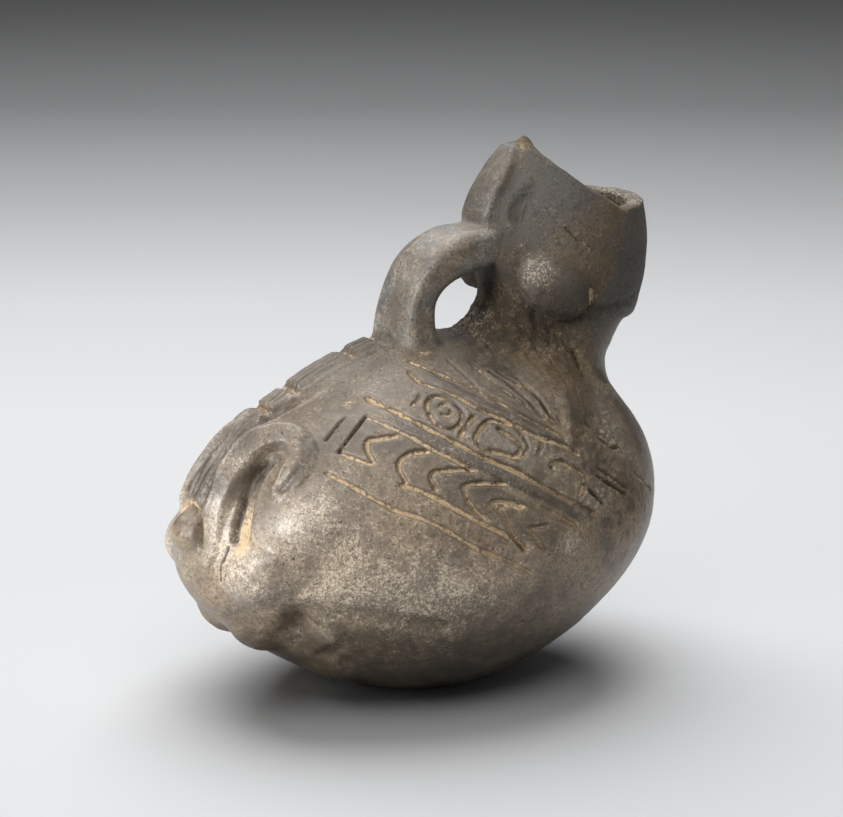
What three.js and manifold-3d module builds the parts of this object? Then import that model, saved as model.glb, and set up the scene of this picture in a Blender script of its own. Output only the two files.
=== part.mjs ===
// Animal effigy pitcher, one fired-clay body: rounded vessel with a tail end, neck, thrown-back head whose mouth is the
// spout, and a strap handle. Millimetres, +Z up, +X towards the chest, origin at the centre of the resting spot.
import * as THREE from "three";
import { mergeVertices } from "three/addons/utils/BufferGeometryUtils.js";
import Module from "manifold-3d";

const wasm = await Module();
wasm.setup();

const { sin, cos, abs, min, max, PI, asin, sign, hypot } = Math;
const degree = PI / 180;

// Sizes, scaled from the photograph at 0.266 mm to a pixel.
const tilt = 27 * degree; // the neck and head lean forward of upright by this
const bodyCentre = new THREE.Vector3(4, 0, 44.9);
const restX = 4.8; // centre of the resting spot, moved to the origin at the end
const spineY = 2.5; // spine, handle and crest sit this far from the middle, as shown
const wall = 5;
const neckRow = 47; // height along the tilted axis where the neck starts
const rowsOfBody = 0.68; // share of v given to the body
const bodyPitch = 0.1; // the long axis of the body rises to the front
const upperHead = 74,
  topOfHead = 100;
const rimBack = [-14.5, 103],
  rimLow = [12, 94],
  rimFront = [25.5, 101.2];

// Rows are height on the tilted axis, centre, half-length to the back, to the front, and half-width.
const shell = {
  halfHeight: 53.8,
  back: 57.5,
  front: 60.5,
  side: 49,
  rows: [
    [52, 17.2, 22.5, 21.5, 18.8],
    [57, 16.4, 20.6, 19, 17.2],
    [61, 15.6, 20.4, 19.5, 17.4],
    [65, 13.2, 21.2, 22.2, 19.4],
    [68, 9.6, 21, 28.2, 21.2],
    [74, 7.6, 20.3, 29.3, 22],
    [86, 7, 19.5, 26.6, 21.5],
    [100, 6.5, 19.5, 19, 19.5],
  ],
};
const hollow = {
  halfHeight: shell.halfHeight - wall,
  back: shell.back - 2 * wall, // the tail end is solid
  front: shell.front - wall,
  side: shell.side - wall,
  rows: [
    [52, 17.2, 18.3, 17.3, 14.6],
    [57, 16.4, 15.4, 14.9, 13.1],
    [62, 14.8, 15.2, 15.2, 13.4],
    [68, 11.5, 16.2, 18.6, 15.6],
    [76, 8, 16.4, 21.6, 17.4],
    [86, 7, 15.6, 20.8, 17.3],
    [100, 6.5, 15.6, 15, 15.6],
  ],
};

const tiltedUp = new THREE.Vector3(sin(tilt), 0, cos(tilt));
const tiltedFront = new THREE.Vector3(cos(tilt), 0, -sin(tilt));
const longAxis = new THREE.Vector3(cos(bodyPitch), 0, sin(bodyPitch));
const highAxis = new THREE.Vector3(-sin(bodyPitch), 0, cos(bodyPitch));
const sideways = new THREE.Vector3(0, 1, 0);

const clamp = (x, low = 0, high = 1) => min(high, max(low, x));
const ease = (x) => clamp(x) ** 2 * (3 - 2 * clamp(x));
const vector = (x, y, z) => new THREE.Vector3(x, y, z);

// Cubic curve through equally spaced rows: t runs 0 to 1 from rows[first] to the last row.
function curve(rows, t, first = 0) {
  const last = rows.length - 1;
  const place = first + clamp(t) * (last - first);
  const i = min(Math.floor(place), last - 1);
  const s = place - i;
  const slope = (k, c) =>
    (rows[min(k + 1, last)][c] - rows[max(k - 1, 0)][c]) /
    (min(k + 1, last) - max(k - 1, 0));
  return rows[i].map(
    (value, c) =>
      (1 + 2 * s) * (1 - s) ** 2 * value +
      s * (1 - s) ** 2 * slope(i, c) +
      s * s * (3 - 2 * s) * rows[i + 1][c] +
      s * s * (s - 1) * slope(i + 1, c),
  );
}

// Body row at height h on the tilted axis: an ellipsoid sheared along the slices.
function bodyRow(form, angle) {
  const h = form.halfHeight * sin(angle);
  const r = cos(angle);
  return [h, 0.4 * h, form.back * r, form.front * r, form.side * r];
}

// The rim falls from the back peak to the low corners, then rises to the front lip. The sag is steepest beside the peak.
function rimHeight(m, u) {
  const [a, b] = m < rimLow[0] ? [rimBack, rimLow] : [rimLow, rimFront];
  const side = abs(sin(u));
  const sag =
    m < rimLow[0] ? 2 * side ** 2 * sin(PI * clamp((m - a[0]) / (b[0] - a[0]))) : 0;
  const corner = (5.2 * side * clamp(cos(u)) ** 1.5) / (side + 0.1) ** 0.5;
  return a[1] + ((b[1] - a[1]) * (m - a[0])) / (b[0] - a[0]) - sag - corner;
}

// Point of a form at angle u (0 at the tail, PI at the chest) and v from the underside (0) to the rim (1).
function surface(form, u, v) {
  const joint = asin(neckRow / form.halfHeight);
  const t = clamp((v - rowsOfBody) / (1 - rowsOfBody));
  const row =
    v <= rowsOfBody
      ? bodyRow(form, -PI / 2 + (joint + PI / 2) * (v / rowsOfBody))
      : curve([bodyRow(form, joint - 0.12), bodyRow(form, joint), ...form.rows], t, 1);
  let [h, centre, back, front, side] = row;
  const m = centre - (cos(u) > 0 ? back : front) * cos(u);
  const y = side * sin(u) * (1 - 0.1 * clamp(1 - 4 * t) * cos(u));
  h += 4.4 * ease((h - 57) / 9) * ease((86 - h) / 12) * clamp(-cos(u)) ** 2; // the jaw rises to the front
  if (h > upperHead)
    h = upperHead + ((rimHeight(m, u) - upperHead) * (h - upperHead)) / (topOfHead - upperHead);
  const p = tiltedUp.clone().multiplyScalar(h).addScaledVector(tiltedFront, m);
  // The tail half is drawn in like an egg, and the chest a little.
  const l = p.dot(longAxis);
  const z = p.dot(highAxis);
  const body = clamp((55 - h) / 20);
  const egg = clamp(-l / 60, 0, 1.1) ** 2 * body;
  const saddle = ease(-l / 22) * ease((abs(y) - 3) / 12) * body;
  const breast = ease((l - 12) / 34) * body;
  const top = z > 0 ? 0.17 * egg + 0.05 * saddle + 0.07 * breast : 0.3 * egg - 0.018;
  const lift = 2.6 * clamp(l / 60) ** 1.5 * clamp(-z / 30);
  return bodyCentre
    .clone()
    .addScaledVector(longAxis, l)
    .addScaledVector(highAxis, z * (1 - top) + lift)
    .addScaledVector(sideways, y * (1 - 0.1 * egg));
}

// Large soft forms, mirrored across the body: place, reach and height.
const forms = [
  { at: [38, 16, 95], reach: [13, 10, 7], high: -1.2 }, // hollow under the jaw
  { at: [-42, 26, 54], reach: [18, 14, 15], high: 1.8 }, // haunch
  { at: [-53, 21, 40], reach: [13, 12, 10], high: 2.6 }, // lower haunch
  { at: [-42, 23, 24], reach: [9, 12, 13], high: -2.2 }, // hollow behind the foot
  { at: [-49, 10, 21], reach: [10, 9, 9], high: 2.4 }, // hind foot
  { at: [-29, 17, 11], reach: [10, 11, 9], high: 1.4 }, // belly swelling
  { at: [33, 23, 80], reach: [14, 15, 13], high: 2.2 }, // shoulder
];
function relief(p) {
  let sum = 0;
  for (const { at, reach, high } of forms) {
    const d = hypot(
      (p.x - at[0]) / reach[0],
      (abs(p.y) - at[1]) / reach[1],
      (p.z - at[2]) / reach[2],
    );
    sum += high * ease(1.25 * (1 - d));
  }
  return sum;
}

function normalAt(u, v) {
  const e = 1e-3;
  const low = max(v - e, 1e-3),
    high = min(v + e, 1);
  const alongU = surface(shell, u + e, v).sub(surface(shell, u - e, v));
  const alongV = surface(shell, u, high).sub(surface(shell, u, low));
  return alongV.cross(alongU).normalize();
}
function outside(u, v) {
  const p = surface(shell, u, v);
  return v < 0.01 ? p : p.addScaledVector(normalAt(u, v), relief(p));
}

// Parameters of the shell point that lies nearest to a place; flat drops the sideways distance from the measure.
function locate(place, flat = false) {
  const weight = flat ? 0 : 1;
  const away = (p) =>
    (p.x - place.x) ** 2 + weight * (p.y - place.y) ** 2 + (p.z - place.z) ** 2;
  let best = [Infinity, 0, 0];
  for (let i = 1; i < 36; i++)
    for (let j = 2; j < 60; j++) {
      const d = away(surface(shell, -(i * PI) / 36, j / 60));
      if (d < best[0]) best = [d, -(i * PI) / 36, j / 60];
    }
  let [, u, v] = best;
  for (let k = 0; k < 6; k++) {
    const e = 1e-3;
    const p = surface(shell, u, v);
    const a = surface(shell, u + e, v).sub(p).divideScalar(e);
    const b = surface(shell, u, v + e).sub(p).divideScalar(e);
    const r = vector(place.x - p.x, place.y - p.y, place.z - p.z);
    const dot = (f, g) => f.x * g.x + weight * f.y * g.y + f.z * g.z;
    const det = dot(a, a) * dot(b, b) - dot(a, b) ** 2;
    if (abs(det) < 1e-6) break;
    u += clamp((dot(r, a) * dot(b, b) - dot(r, b) * dot(a, b)) / det, -0.1, 0.1);
    v += clamp((dot(r, b) * dot(a, a) - dot(r, a) * dot(a, b)) / det, -0.03, 0.03);
    v = clamp(v, 0.02, 0.99);
  }
  return [u, v];
}

function solidOf(geometry) {
  geometry.deleteAttribute("normal");
  geometry.deleteAttribute("uv");
  const merged = mergeVertices(geometry, 1e-4);
  return new wasm.Manifold(
    new wasm.Mesh({
      numProp: 3,
      vertProperties: new Float32Array(merged.attributes.position.array),
      triVerts: new Uint32Array(merged.index.array),
    }),
  );
}

// Closed skin from rings of points, each end drawn to a point.
function skin(rings, start, end) {
  const n = rings[0].length;
  const points = [start, ...rings.flat(), end];
  const index = [];
  const at = (i, j) => 1 + i * n + (((j % n) + n) % n);
  for (let j = 0; j < n; j++) index.push(0, at(0, j + 1), at(0, j));
  for (let i = 0; i < rings.length - 1; i++)
    for (let j = 0; j < n; j++) {
      const [a, b, c, d] = [at(i, j), at(i, j + 1), at(i + 1, j + 1), at(i + 1, j)];
      if ((i + j) % 2) index.push(a, b, c, a, c, d);
      else index.push(a, b, d, b, c, d);
    }
  for (let j = 0; j < n; j++)
    index.push(points.length - 1, at(rings.length - 1, j), at(rings.length - 1, j + 1));
  const geometry = new THREE.BufferGeometry().setFromPoints(points);
  geometry.setIndex(index);
  const made = solidOf(geometry);
  if (made.volume() > 0) return made;
  for (let i = 0; i < index.length; i += 3) [index[i], index[i + 1]] = [index[i + 1], index[i]];
  geometry.setIndex(index);
  return solidOf(geometry);
}

// Section swept through frames: origin, first axis, second axis, and the two scales.
function sweep(frames, section) {
  const rings = frames.map(({ origin, first, second, wide = 1, high = 1 }) =>
    section.map(([s, t]) =>
      origin.clone().addScaledVector(first, s * wide).addScaledVector(second, t * high),
    ),
  );
  const middle = (ring) =>
    ring.reduce((sum, p) => sum.add(p), vector(0, 0, 0)).divideScalar(ring.length);
  return skin(rings, middle(rings[0]), middle(rings.at(-1)));
}
function rounded(halfWide, halfHigh, count, power = 0.6) {
  return Array.from({ length: count }, (_, k) => {
    const a = (2 * PI * (k + 0.5)) / count;
    return [
      halfWide * sign(cos(a)) * abs(cos(a)) ** power,
      halfHigh * sign(sin(a)) * abs(sin(a)) ** power,
    ];
  });
}
const mirrored = (solid) => solid.mirror([0, 1, 0]);
const bothSides = (solids) => solids.flatMap((s) => [s, mirrored(s)]);

// Vessel.
const columns = 52;
const heights = [
  0.055, 0.11, 0.165, 0.215, 0.26, 0.3, 0.34, 0.38, 0.42, 0.46, 0.5, 0.54, 0.58, 0.615, 0.65, 0.68, 0.71, 0.74,
  0.763,
  0.778, 0.798, 0.816, 0.834, 0.854, 0.885, 0.925, 0.965, 1,
];
const turn = (j, n) => (2 * PI * j) / n;
const ring = (form, v, n) => Array.from({ length: n }, (_, j) => form(turn(j, n), v));
const onRimPlane = (m) =>
  surface(shell, PI / 2, 1).setY(0);
const vessel = skin(
  heights.map((v) => ring(outside, v, columns)),
  outside(0, 0),
  onRimPlane(),
);
const hollowHeights = [0.1, 0.2, 0.3, 0.4, 0.5, 0.58, 0.65, 0.7, 0.74, 0.78, 0.82, 0.86, 0.92, 1];
const hollowRings = hollowHeights.map((v) => ring((u, w) => surface(hollow, u, w), v, 20));
hollowRings.push(hollowRings.at(-1).map((p) => p.clone().addScaledVector(tiltedUp, 16)));
const cavity = skin(
  hollowRings,
  surface(hollow, 0, 0),
  bodyCentre.clone().addScaledVector(tiltedUp, 122).addScaledVector(tiltedFront, 6),
);

// Strap handle from the back to the head, as places in the plane of symmetry.
const strapPath = [
  [4, 83], [3.5, 97], [5.6, 104.8], [10.4, 110.3], [18.6, 113.4], [33, 114.6],
];
const strapFrames = Array.from({ length: 17 }, (_, k) => {
  const t = k / 16;
  const [x, z] = curve(strapPath, t);
  const [xa, za] = curve(strapPath, t - 0.01);
  const [xb, zb] = curve(strapPath, t + 0.01);
  const d = vector(xb - xa, 0, zb - za).normalize();
  const flare = 1 + 0.45 * clamp(1 - t / 0.36) ** 2 - 0.2 * ease((t - 0.7) / 0.3);
  return { origin: vector(x, spineY * (1 - t), z), first: sideways, second: vector(-d.z, 0, d.x), wide: flare, high: flare + 0.25 + 0.4 * ease((t - 0.3) / 0.5) };
});
const strap = sweep(strapFrames, rounded(9.3, 3.5, 14));
// Its ridge runs on up the back of the head to the peak.
const crestFrames = [
  [28, 113, 6.5, 3.6], [27.2, 119, 7, 4.4], [29.8, 126.5, 6.6, 4.2], [33.6, 133.6, 5.6, 3.3], [37.6, 140.6, 3.8, 1.9],
].map(([x, z, wide, high]) => ({
  origin: vector(x, 0.8 * spineY, z), first: sideways, second: vector(-0.9, 0, 0.44), wide, high,
}));
const crest = sweep(crestFrames, rounded(1, 1, 10));

// Frames along a path on the flank, given as places; lift moves them off the shell.
function flankFrames(places, count, lift, flat) {
  return Array.from({ length: count }, (_, k) => {
    const t = k / (count - 1);
    const at = (q) => {
      const [x, y, z] = curve(places, clamp(q));
      const [u, v] = locate(vector(x, y, z), flat);
      const n = normalAt(u, v);
      const p = surface(shell, u, v);
      return { p: p.addScaledVector(n, relief(p)), n };
    };
    const { p, n } = at(t);
    const d = at(t + 0.02).p.sub(at(t - 0.02).p).normalize();
    return { origin: p.addScaledVector(n, lift), first: d.clone().cross(n).normalize(), second: n, t };
  });
}

// Rope that curls over each haunch, from beside the tail up and round to its tip.
const ropePath = [
  [-58.9, -11.3, 46.9], [-56, -9.3, 54.3], [-52.2, -8.2, 59.8], [-46, -7.9, 66.6], [-41, -9.8, 70], [-37, -14.1, 70.8],
  [-37.2, -17.7, 68.8], [-41.4, -20.7, 63.1], [-44.2, -20.6, 60.3],
];
const farSide = (path) => path.map(([x, y, z]) => [x, 2 * spineY - y, z]);
const rope = (path) => {
  const frames = flankFrames(path, 19, 0, false);
  for (const f of frames) f.wide = f.high = 0.35 + 0.65 * ease(min(f.t, 1 - f.t) / 0.12);
  return sweep(frames, rounded(3.9, 3, 8, 0.8));
};
// Groove inside the curl.
const insidePath = [[-55.4, -17, 47.5], [-53.6, -14.6, 53.3], [-50, -12.9, 59.3], [-46.6, -12.6, 63.6], [-42.8, -14.2, 66.3]];
const inside = (path) => {
  const frames = flankFrames(path, 8, 0, false);
  for (const f of frames) f.wide = f.high = 0.4 + 0.6 * ease(min(f.t, 1 - f.t) / 0.35);
  return sweep(frames, rounded(2, 1.8, 7, 1));
};

// Plates along the spine: a raised band cut across into long and short blocks, in v up the tail side.
const plates = [[0.315, 0.452], [0.459, 0.487], [0.494, 0.556], [0.563, 0.591], [0.598, 0.664]];
const spine = plates.map(([low, high]) => {
  const steps = max(2, Math.round((high - low) / 0.022));
  const frames = Array.from({ length: steps + 1 }, (_, k) => {
    const v = low + ((high - low) * k) / steps;
    return { origin: surface(shell, 0, v).setY(spineY), first: sideways, second: normalAt(0, v) };
  });
  return sweep(frames, [[-6, -2.5], [-5.9, 0.7], [-4.2, 1], [-3.6, 2.3], [3.6, 2.3], [4.2, 1], [5.9, 0.7], [6, -2.5]]);
});
// Knob at the tail.
const knobFrames = [0.255, 0.272, 0.29, 0.305].map((v, k) => ({
  origin: surface(shell, 0, v).setY(spineY), first: sideways, second: normalAt(0, v),
  wide: [4.5, 6.5, 6.5, 5][k], high: [1.6, 3.2, 3.2, 1.8][k],
}));
const knob = sweep(knobFrames, rounded(1, 1, 10, 0.8));

// Flank pattern in its own axes: s runs down the straight lines to the front, t rises across them, seen from the side.
const slope = 31 * degree;
const pattern = (s, t) => [s * cos(slope) + t * sin(slope) + bodyCentre.x, -35, t * cos(slope) - s * sin(slope) - 1.1];
function cut(path, count, wide = 0.85, deep = 1) {
  const frames = flankFrames(path, count, 0, true);
  return sweep(frames, [[-wide, 0.5], [wide, 0.5], [0, -deep]]);
}
const lines = [
  [72.9, -52.5, -15.4], [69.8, -53.1, -12.3], [58.7, -62.5, -1.4], [54.9, -61.4, -6.5], [43.5, -67.1, -19], [37.5, -68.7, -14.8],
];
const straight = lines.map(([t, from, to]) =>
  cut([0, 0.5, 1].map((q) => pattern(from + (to - from) * q, t)), 7),
);
// Chevrons, tip first position on s, pointing to the tail between the two lower bands.
const chevrons = [-61.5, -51.5, -41.5, -31.5, -21.5].map((s) =>
  cut([pattern(s + 9, 53.6), pattern(s + 3.6, 51.6), pattern(s, 48.6), pattern(s + 4, 44.8)], 7, 0.8, 0.9),
);
// Hooked scrolls between the two upper bands.
const scrolls = [-48.5, -29, -11].map((s) => {
  const round = Array.from({ length: 7 }, (_, k) => {
    const a = (-150 + 50 * k) * degree;
    return pattern(s + 3 * cos(a), 64.2 + 3.1 * sin(a));
  });
  return cut(round, 9, 0.8, 0.9);
});
const strokes = [
  cut([pattern(-66, 51.5), pattern(-65.2, 47), pattern(-65.6, 43.5)], 3),
  cut([pattern(-68.5, 51), pattern(-68.6, 46), pattern(-69.5, 42)], 3),
];


// Cheeks, ear ridges, slits below them, and the small limb beside the neck.
const cheek = solidOf(new THREE.SphereGeometry(1, 12, 9).scale(10.5, 7, 9.6).translate(38.2, -16.2, 104.2));
const ridgeSection = (wide, high) => rounded(wide, high, 6, 1);
const ear = sweep(
  flankFrames([[36, -9.6, 129.7], [33.8, -7.4, 128.3], [31.7, -6.8, 124.7], [29.7, -8.2, 120.1], [31.4, -10.6, 116.9]], 7, 0, false),
  ridgeSection(1.3, 1.2),
);
const slits = [
  [[39.4, -18.7, 120.5], [42.2, -20.8, 116.9]],
  [[41.9, -19, 123.2], [46.2, -21.3, 117.8]],
].map((path) => cut(path, 3, 0.8, 0.9));
const limb = flankFrames([[49, -15.8, 87.3], [51.4, -16.6, 80.8], [53.6, -18.4, 75.8]], 6, 0, false);
limb.forEach((f, k) => {
  f.wide = [0.6, 1, 1, 1, 1.2, 1][k];
  f.high = [0.4, 1, 1, 1, 1.6, 1.2][k];
});
const arms = sweep(limb, ridgeSection(2.6, 1.6));

const ground = solidOf(new THREE.BoxGeometry(300, 300, 60).translate(0, 0, -30));
let pitcher = vessel;
for (const part of [strap, crest, rope(ropePath), rope(farSide(ropePath)), knob, ...spine, ...bothSides([cheek, ear, arms])])
  pitcher = pitcher.add(part);
// The side that is out of sight is plainer: it has the curl, the lines and the chevrons.
const grooves = [
  inside(insidePath), inside(farSide(insidePath)), ...slits, ...scrolls, ...strokes, ...bothSides([...straight, ...chevrons]),
];
for (const groove of grooves) pitcher = pitcher.subtract(groove);
pitcher = pitcher.subtract(cavity).subtract(ground);
pitcher = pitcher.asOriginal().simplify(0.05).translate([-restX, 0, 0]);

const made = pitcher.getMesh();
const geometry = new THREE.BufferGeometry()
  .setAttribute("position", new THREE.BufferAttribute(new Float32Array(made.vertProperties), 3))
  .setIndex(new THREE.BufferAttribute(new Uint32Array(made.triVerts), 1));
geometry.computeVertexNormals();
const mesh = new THREE.Mesh(
  geometry,
  new THREE.MeshStandardMaterial({ name: "clay", color: 0x4a4238, roughness: 0.55 }),
);
mesh.name = "pitcher";

const group = new THREE.Group();
group.name = "animal_effigy_pitcher";
group.add(mesh);
export default group;
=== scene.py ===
from math import asin, cos, pi, radians, sin

import bpy
import numpy as np
from mathutils import Matrix


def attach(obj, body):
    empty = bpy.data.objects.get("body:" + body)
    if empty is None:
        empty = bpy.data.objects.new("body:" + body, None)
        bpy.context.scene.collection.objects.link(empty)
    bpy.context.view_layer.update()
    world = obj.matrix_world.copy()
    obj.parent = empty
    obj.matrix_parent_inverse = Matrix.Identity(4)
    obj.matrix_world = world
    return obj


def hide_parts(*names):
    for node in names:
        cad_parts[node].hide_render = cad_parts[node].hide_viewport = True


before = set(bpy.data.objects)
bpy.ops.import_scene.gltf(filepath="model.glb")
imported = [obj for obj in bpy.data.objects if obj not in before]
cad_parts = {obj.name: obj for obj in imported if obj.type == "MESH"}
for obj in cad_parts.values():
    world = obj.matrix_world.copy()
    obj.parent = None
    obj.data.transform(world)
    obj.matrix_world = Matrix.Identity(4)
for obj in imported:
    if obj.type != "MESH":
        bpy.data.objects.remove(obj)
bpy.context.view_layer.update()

# Animal effigy pitcher, its fired clay skin. Shapes are worked out in millimetres and scaled to metres at the end.
# The photograph's view: turned towards the tail, a little from above.
view = {
    "turn": 30, "rise": 15, "away": 900, "lens": 144.5, "film": 36, "aimRight": 2.79, "aimUp": 26.07,
    "wide": 843, "high": 817,
}
bodyCentre = np.array([-0.8, 0, 44.9])
viewRight = np.array([cos(radians(view["turn"])), -sin(radians(view["turn"])), 0])
viewBack = np.array([
    -sin(radians(view["turn"])) * cos(radians(view["rise"])),
    -cos(radians(view["turn"])) * cos(radians(view["rise"])),
    sin(radians(view["rise"])),
])
viewUp = np.cross(viewBack, viewRight)
eye = bodyCentre + viewRight * view["aimRight"] + viewUp * view["aimUp"] + viewBack * view["away"]


def clamp(x, low=0.0, high=1.0):
    return np.clip(x, low, high)


# Smooth step: 0 below 0, 1 above 1, 3x^2 - 2x^3 between.
def ease(x):
    return clamp(x) ** 2 * (3 - 2 * clamp(x))


# Cubic curve through equally spaced rows, with central-difference slopes; t runs 0 to 1 from rows[first] to the last.
def curveThrough(rows, t, first=0):
    rows = np.asarray(rows, float)
    last = len(rows) - 1
    place = first + clamp(np.asarray(t, float)) * (last - first)
    i = np.minimum(np.floor(place).astype(int), last - 1)
    s = (place - i)[..., None]
    slopes = np.gradient(rows, axis=0) if last > 1 else np.repeat(rows[1:] - rows[:1], 2, axis=0)
    return (
        (1 + 2 * s) * (1 - s) ** 2 * rows[i]
        + s * (1 - s) ** 2 * slopes[i]
        + s * s * (3 - 2 * s) * rows[i + 1]
        + s * s * (s - 1) * slopes[i + 1]
    )


# Pixel of the photograph that shows a place: straight lines to the eye, meeting the picture at the lens's distance.
def pixelOf(places):
    seen = places - eye
    depth = -(seen @ viewBack)
    reach = view["lens"] / view["film"] * view["wide"]
    return np.stack([
        view["wide"] / 2 + reach * (seen @ viewRight) / depth,
        view["high"] / 2 - reach * (seen @ viewUp) / depth,
    ], -1)


# Smooth unevenness between about -1 and 1: a sum of sine waves in spread directions, near the given wavelength.
def unevenness(places, wavelength, seed, waves=9):
    turns = np.random.default_rng(seed)
    total = np.zeros(places.shape[:-1])
    for _ in range(waves):
        way = turns.normal(size=3)
        way /= np.linalg.norm(way)
        total += np.sin(places @ way * (2 * pi / (wavelength * turns.uniform(0.7, 1.4))) + turns.uniform(0, 2 * pi))
    return total / 4


# The vessel. Rows are height on the tilted axis, centre, half-length to the back and front, and half-width.
vessel = {
    "tilt": radians(27), "pitch": 0.1, "bodyShare": 0.68, "neckStart": 47, "upperHead": 74, "topOfHead": 100,
    "rimBack": (-14.5, 103), "rimLow": (12, 94), "rimFront": (25.5, 101.2), "rimSag": 2, "cornerDrop": 5.2,
    "jawRise": 4.4, "jawFrom": 57, "jawUntil": 86, "bodyTop": 55, "bodyEnd": 60, "spine": 2.5,
    "slant": 0.4, "chestWider": 0.1, "chestLift": 2.6,
    "narrow": {"tail": 0.17, "tailBelow": 0.3, "tailSides": 0.1, "saddle": 0.05, "breast": 0.07, "below": -0.018},
    "outside": {"halfHeight": 53.8, "back": 57.5, "front": 60.5, "side": 49, "rows": [
        (52, 17.2, 22.5, 21.5, 18.8), (57, 16.4, 20.6, 19, 17.2), (61, 15.6, 20.4, 19.5, 17.4),
        (65, 13.2, 21.2, 22.2, 19.4), (68, 9.6, 21, 28.2, 21.2), (74, 7.6, 20.3, 29.3, 22),
        (86, 7, 19.5, 26.6, 21.5), (100, 6.5, 19.5, 19, 19.5)]},
    "inside": {"halfHeight": 48.8, "back": 47.5, "front": 55.5, "side": 44, "rows": [
        (52, 17.2, 18.3, 17.3, 14.6), (57, 16.4, 15.4, 14.9, 13.1), (62, 14.8, 15.2, 15.2, 13.4),
        (68, 11.5, 16.2, 18.6, 15.6), (76, 8, 16.4, 21.6, 17.4), (86, 7, 15.6, 20.8, 17.3),
        (100, 6.5, 15.6, 15, 15.6)]},
}
tiltedUp = np.array([sin(vessel["tilt"]), 0, cos(vessel["tilt"])])
tiltedFront = np.array([cos(vessel["tilt"]), 0, -sin(vessel["tilt"])])
longAxis = np.array([cos(vessel["pitch"]), 0, sin(vessel["pitch"])])
highAxis = np.array([-sin(vessel["pitch"]), 0, cos(vessel["pitch"])])
sideways = np.array([0, 1.0, 0])


# Row of the body at an angle: an ellipsoid sheared along its slices.
def bodyRow(form, angle):
    h, r = form["halfHeight"] * np.sin(angle), np.cos(angle)
    return np.stack([h, vessel["slant"] * h, form["back"] * r, form["front"] * r, form["side"] * r], -1)


# Rim: falls from the back peak to the low corners, steepest beside the peak, then rises to the front lip.
def rimHeight(m, u):
    (a, high), (b, low), (c, lip) = vessel["rimBack"], vessel["rimLow"], vessel["rimFront"]
    side = abs(np.sin(u))
    sag = vessel["rimSag"] * side ** 2 * np.sin(pi * clamp((m - a) / (b - a)))
    corner = vessel["cornerDrop"] * side * clamp(np.cos(u)) ** 1.5 / np.sqrt(side + 0.1)
    falling = high + (low - high) * (m - a) / (b - a) - sag
    rising = low + (lip - low) * (m - b) / (c - b)
    return np.where(m < b, falling, rising) - corner


# Skin of a form: u goes round from the tail (0) by the near side to the chest (pi),
# v from the underside (0) to the rim (1).
def skinOf(form, u, v):
    u, v = np.broadcast_arrays(np.asarray(u, float), np.asarray(v, float))
    joint, share = asin(vessel["neckStart"] / form["halfHeight"]), vessel["bodyShare"]
    t = clamp((v - share) / (1 - share))
    neck = curveThrough(np.vstack([bodyRow(form, np.array([joint - 0.12, joint])), form["rows"]]), t, 1)
    low = bodyRow(form, -pi / 2 + (joint + pi / 2) * np.minimum(v, share) / share)
    h, centre, back, front, side = np.moveaxis(np.where((v <= share)[..., None], low, neck), -1, 0)
    m = centre - np.where(np.cos(u) > 0, back, front) * np.cos(u)
    y = side * np.sin(u) * (1 - vessel["chestWider"] * clamp(1 - 4 * t) * np.cos(u))
    jaw = ease((h - vessel["jawFrom"]) / 9) * ease((vessel["jawUntil"] - h) / 12)
    h = h + vessel["jawRise"] * jaw * clamp(-np.cos(u)) ** 2  # the jaw rises to the front
    start, top = vessel["upperHead"], vessel["topOfHead"]
    h = np.where(h > start, start + (rimHeight(m, u) - start) * (h - start) / (top - start), h)
    p = h[..., None] * tiltedUp + m[..., None] * tiltedFront
    l, z = p @ longAxis, p @ highAxis
    body = clamp((vessel["bodyTop"] - h) / 20)
    egg = clamp(-l / vessel["bodyEnd"], 0, 1.1) ** 2 * body
    saddle = ease(-l / 22) * ease((abs(y) - 3) / 12) * body
    breast = ease((l - 12) / 34) * body
    narrow = vessel["narrow"]
    above = narrow["tail"] * egg + narrow["saddle"] * saddle + narrow["breast"] * breast
    drawnIn = np.where(z > 0, above, narrow["tailBelow"] * egg + narrow["below"])
    lift = vessel["chestLift"] * clamp(l / vessel["bodyEnd"]) ** 1.5 * clamp(-z / 30)
    return (
        bodyCentre + l[..., None] * longAxis
        + (z * (1 - drawnIn) + lift)[..., None] * highAxis
        + (y * (1 - narrow["tailSides"] * egg))[..., None] * sideways
    )


# Unit normals of a grid of places that closes round its second axis.
def normalsOf(places):
    around = np.roll(places, -1, 1) - np.roll(places, 1, 1)
    upward = np.gradient(places, axis=0)
    n = np.cross(upward, around)
    return n / (np.linalg.norm(n, axis=-1, keepdims=True) + 1e-12)


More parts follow.
